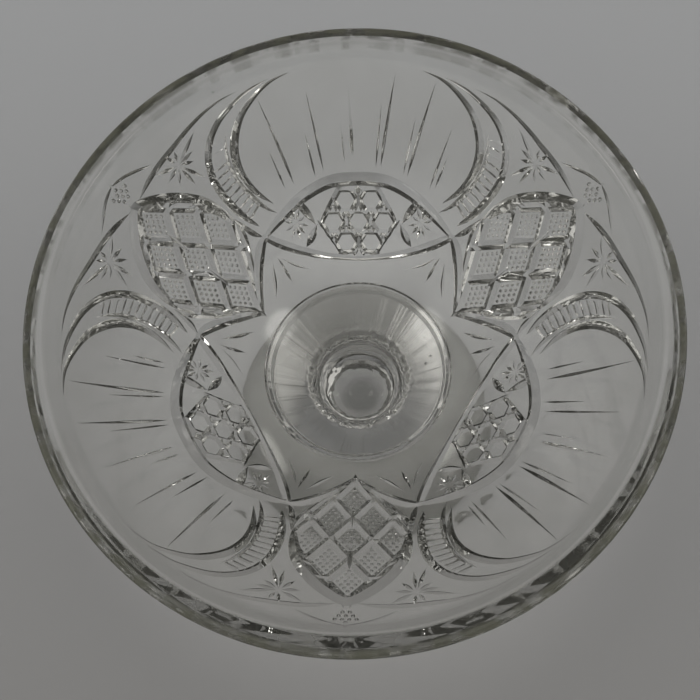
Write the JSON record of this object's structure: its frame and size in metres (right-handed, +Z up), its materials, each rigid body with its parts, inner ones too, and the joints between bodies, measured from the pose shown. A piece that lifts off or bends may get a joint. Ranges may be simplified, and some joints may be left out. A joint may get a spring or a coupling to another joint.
{
  "type": "footed compote",
  "caption": "Clear pressed glass footed compote: open conical bowl with a relief pattern outside, joined by a glass wafer to a hollow flared foot.",
  "frame": {"origin": "on the turning axis, at the level that the foot rests on", "axes": "+Z up along the turning axis, +Y towards the middle of one of the three crescent panels"},
  "size_m": [0.21, 0.21, 0.15],
  "materials": {
    "bowl_glass": "clear pressed glass, smooth inside, patterned outside",
    "wafer_glass": "clear hot-joined glass with a ragged edge",
    "foot_glass": "clear pressed glass"
  },
  "bodies": {
    "root": {"bowl": "bowl_glass", "joining_wafer": "wafer_glass", "pedestal_foot": "foot_glass"}
  },
  "joints": []
}
